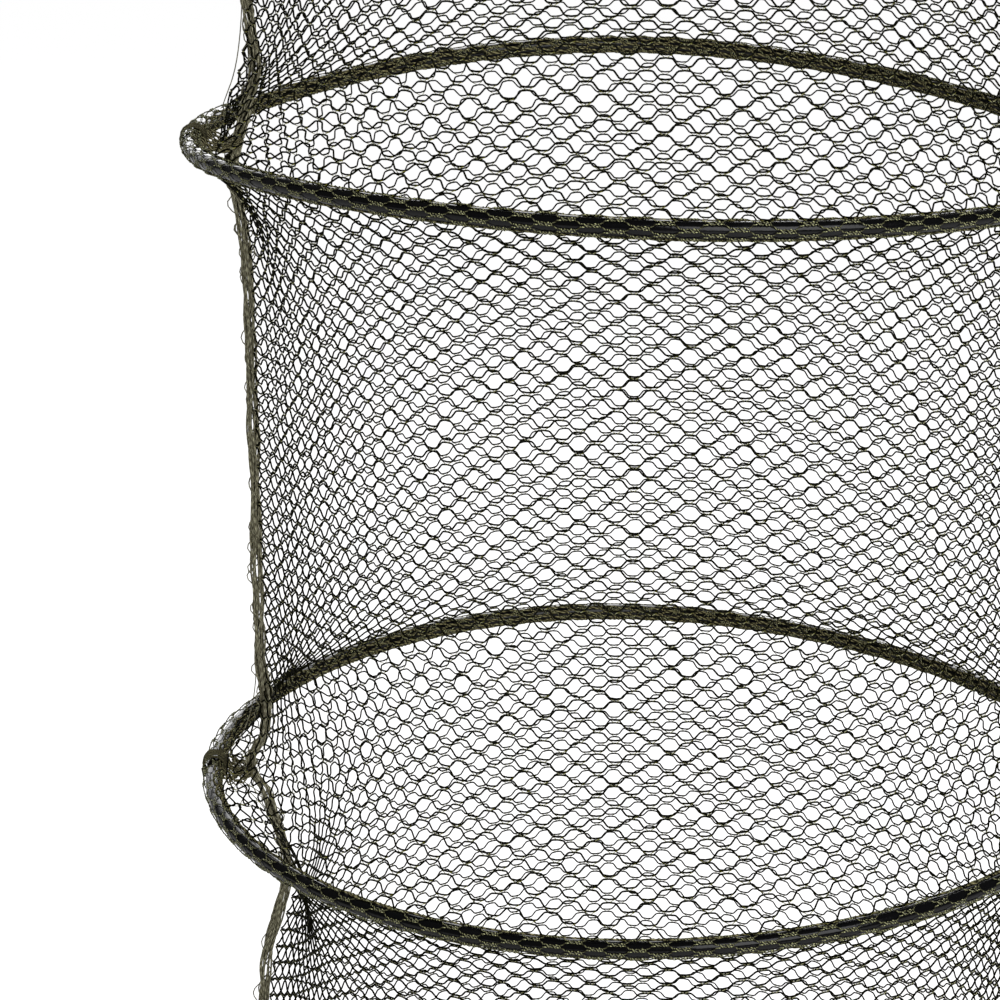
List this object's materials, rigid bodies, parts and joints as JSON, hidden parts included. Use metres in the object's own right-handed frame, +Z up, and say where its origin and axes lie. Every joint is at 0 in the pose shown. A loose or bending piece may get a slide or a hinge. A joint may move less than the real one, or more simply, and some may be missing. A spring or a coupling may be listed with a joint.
{
  "type": "keep net",
  "caption": "Hanging keep net: a hooped tube of hexagonal netting with a sewn bottom, hung by its mouth hoop from a swivelling threaded bank stick fitting.",
  "frame": {"origin": "on the threaded stud's axis, in the plane of the lock nut's lower face, where the bank stick's end stops", "axes": "+Z up along the stud; the net hangs down on the -X side of the stud; -Y is the front that the picture shows"},
  "size_m": [0.4533, 0.4088, 0.9149],
  "materials": {
    "hoop_plastic": "glossy black",
    "ferrule_plastic": "satin black",
    "netting": "olive knotless netting",
    "sleeve_netting": "pale olive netting stretched round the rod",
    "seam_twine": "dark olive bunched seam",
    "tie_twine": "dark twine lashing",
    "clamp_plastic": "moulded black plastic",
    "bush_nylon": "natural nylon",
    "brass": "turned brass",
    "zinc_steel": "zinc plated"
  },
  "bodies": {
    "bank_stick_fitting": {"threaded_stud": "brass", "stud_washer": "zinc_steel", "cap_nut": "brass"},
    "lock_nut": {"lock_nut": "brass"},
    "mouth": {"swivel_bush": "bush_nylon", "clamp_top": "clamp_plastic", "clamp_bottom": "clamp_plastic", "clamp_screw_1": "zinc_steel", "clamp_screw_2": "zinc_steel", "clamp_screw_3": "zinc_steel", "clamp_screw_4": "zinc_steel", "clamp_nut_1": "zinc_steel", "clamp_nut_2": "zinc_steel", "clamp_nut_3": "zinc_steel", "clamp_nut_4": "zinc_steel", "mouth_hoop": "hoop_plastic", "mouth_hoop_sleeve": "sleeve_netting", "mouth_hoop_seam_tie": "tie_twine", "net_section_1": "netting", "side_seam_1": "seam_twine"},
    "hoop_2": {"hoop_2": "hoop_plastic", "hoop_2_ferrule": "ferrule_plastic", "hoop_2_sleeve": "sleeve_netting", "hoop_2_seam_tie": "tie_twine", "net_section_2": "netting", "side_seam_2": "seam_twine"},
    "hoop_3": {"hoop_3": "hoop_plastic", "hoop_3_ferrule": "ferrule_plastic", "hoop_3_sleeve": "sleeve_netting", "hoop_3_seam_tie": "tie_twine", "net_section_3": "netting", "side_seam_3": "seam_twine"},
    "hoop_4": {"hoop_4": "hoop_plastic", "hoop_4_ferrule": "ferrule_plastic", "hoop_4_sleeve": "sleeve_netting", "hoop_4_seam_tie": "tie_twine", "bottom_net": "netting"}
  },
  "joints": [
    {"name": "net_swivel", "type": "hinge", "parent": "bank_stick_fitting", "child": "mouth", "pos_m": [0, 0, 0.0211], "axis": [0, 0, 1], "continuous": true},
    {"name": "lock_nut_spin", "type": "hinge", "parent": "bank_stick_fitting", "child": "lock_nut", "pos_m": [0, 0, 0.0035], "axis": [0, 0, 1], "continuous": true},
    {"name": "hoop_2_slide", "type": "slide", "parent": "mouth", "child": "hoop_2", "axis": [0, 0, 1], "range_m": [0, 0.256], "deforming": ["net_section_1", "side_seam_1"]},
    {"name": "hoop_3_slide", "type": "slide", "parent": "hoop_2", "child": "hoop_3", "axis": [0, 0, 1], "range_m": [0, 0.256], "deforming": ["net_section_2", "side_seam_2"]},
    {"name": "hoop_4_slide", "type": "slide", "parent": "hoop_3", "child": "hoop_4", "axis": [0, 0, 1], "range_m": [0, 0.256], "deforming": ["net_section_3", "side_seam_3"]}
  ]
}
